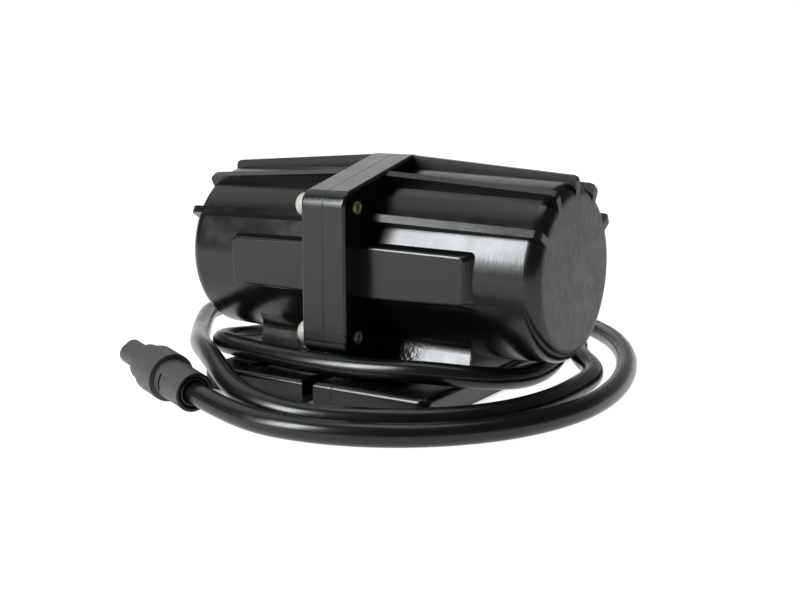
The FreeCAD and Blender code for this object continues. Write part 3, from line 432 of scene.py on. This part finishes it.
def plug_trim():
    """The lip in the plug's mouth, a near-black strip on the sleeve that paints the shade of a slot, and the
    sleeve's blackened end.
    """
    plug_frame = plug_place()
    mouth_lip = [(-7.6, 5.15), (-7.9, 5.7), (-7.7, 6.4), (-7.2, 6.75), (-5.6, 6.75), (-5.6, 5.15)]
    lathe("plug_mouth_lip", mouth_lip, plug_frame, "cable_jacket")
    outer_side = plug_frame.to_3x3().transposed() @ Vector((-0.33, -0.93, 0.1))
    slot_shade = math.degrees(math.atan2(outer_side.z, outer_side.y))
    half_shade_arc = 24.0
    # painted shade: a thin near-black arc standing proud of the sleeve, where a slot would be dark inside
    shade_strip = [(7.7, 8.7), (7.7, 8.9), (8.8, 8.9), (8.8, 8.7)]
    lathe("plug_shade_strip", shade_strip, plug_frame, "black_rubber",
          slot_shade - half_shade_arc, slot_shade + half_shade_arc, 12, "slot_shade")
    sleeve_end = [(-8.3, 6.95), (-8.3, 8.55), (-8.02, 8.76), (-8.02, 6.95)]
    lathe("plug_sleeve_end", sleeve_end, plug_frame, "black_rubber", look="gasket")


grown("screw_tip_rims", *tip_rim_tree(), "housing", "zinc_steel")
plug_trim()


# ---------------------------------------------------------------- studio
FLOOR_FRONT = -14.0
FLOOR_BACK = 3.6
FLOOR_HALF_WIDTH = 14.0
SWEEP_RADIUS = 0.8
WALL_TOP = 3.0


def paper():
    """White background paper that glows by its own emission: a painted shadow under the foot, where the glow
    is cut, and a glow that fades high up the wall behind.
    """
    material, tree, shader, place = finish("white_paper")
    shader.inputs["Base Color"].default_value = colour("#909090")
    shader.inputs["Roughness"].default_value = 0.9
    shader.inputs["Emission Color"].default_value = (1, 1, 1, 1)
    height = add(tree, "ShaderNodeSeparateXYZ", {"Vector": place}).outputs["Z"]
    # painted shadow under the foot: the floor's glow drops to a twentieth inside the foot's footprint
    under = multiply(tree, zone(tree, place, "foot_length"), zone(tree, place, "foot_width"))
    wall_light = spread(tree, height, 0.97, 0.12, 0.42, 0.62)
    glow = multiply(tree, wall_light, spread(tree, under, 1.0, 0.05, 0.0, 1.0))
    tree.links.new(glow, shader.inputs["Emission Strength"])
    return material


def studio_floor():
    """A white paper sweep: flat floor, curving up behind the motor."""
    mesh = bmesh.new()
    across = Vector((math.cos(VIEW_TURN), math.sin(VIEW_TURN), 0))
    away = Vector((-math.sin(VIEW_TURN), math.cos(VIEW_TURN), 0))
    profile = [(FLOOR_FRONT, 0.0), (FLOOR_BACK, 0.0)]
    profile += [(FLOOR_BACK + SWEEP_RADIUS * math.sin(a), SWEEP_RADIUS - SWEEP_RADIUS * math.cos(a))
                for a in [math.radians(d) for d in range(6, 91, 6)]]
    profile += [(FLOOR_BACK + SWEEP_RADIUS, WALL_TOP)]
    rows = [[mesh.verts.new(across * side * FLOOR_HALF_WIDTH + away * run + Vector((0, 0, rise)))
             for run, rise in profile] for side in (-1, 1)]
    for k in range(len(profile) - 1):
        mesh.faces.new((rows[0][k], rows[1][k], rows[1][k + 1], rows[0][k + 1]))
    data = bpy.data.meshes.new("paper_sweep")
    mesh.to_mesh(data)
    mesh.free()
    for face in data.polygons:
        face.use_smooth = True
    sweep = bpy.data.objects.new("paper_sweep", data)
    scene.collection.objects.link(sweep)
    data.materials.append(paper())


def softbox(name, place, target, width, height, power, tint=(1.0, 1.0, 1.0)):
    """A rectangular light in metres and watts, turned to face its target."""
    data = bpy.data.lights.new(name, "AREA")
    data.shape = "RECTANGLE"
    data.size = width
    data.size_y = height
    data.energy = power
    data.color = tint
    lamp = bpy.data.objects.new(name, data)
    scene.collection.objects.link(lamp)
    lamp.location = place
    aim = Vector(target) - Vector(place)
    lamp.rotation_euler = aim.to_track_quat("-Z", "Y").to_euler()


def studio_lights():
    """One key with a dim skirt under it, from the front left, and three wide, weak fills."""
    mid_height = (0, 0, 0.06)
    cool = (0.94, 0.975, 1.0)
    softbox("key_front_left", (-0.45, -0.95, 0.64), mid_height, 0.36, 0.62, 18, cool)
    softbox("key_skirt", (-0.50, -0.93, 0.28), mid_height, 0.4, 0.3, 2.4, cool)
    softbox("fill_top_left", (-0.68, 0.07, 1.05), mid_height, 0.9, 1.1, 2.7)
    softbox("back_left", (-0.86, 1.14, 0.80), (0, 0, 0.1), 0.8, 0.6, 1.6)
    softbox("overhead", (0.0, 0.1, 1.5), (0, 0, 0.0), 0.9, 0.7, 4)
    world = bpy.data.worlds.new("studio_air")
    world.use_nodes = True
    world.node_tree.nodes["Background"].inputs["Color"].default_value = (1, 1, 1, 1)
    world.node_tree.nodes["Background"].inputs["Strength"].default_value = 0.12
    scene.world = world
    scene.view_settings.view_transform = "Standard"


studio_floor()
studio_lights()
bpy.context.view_layer.update()
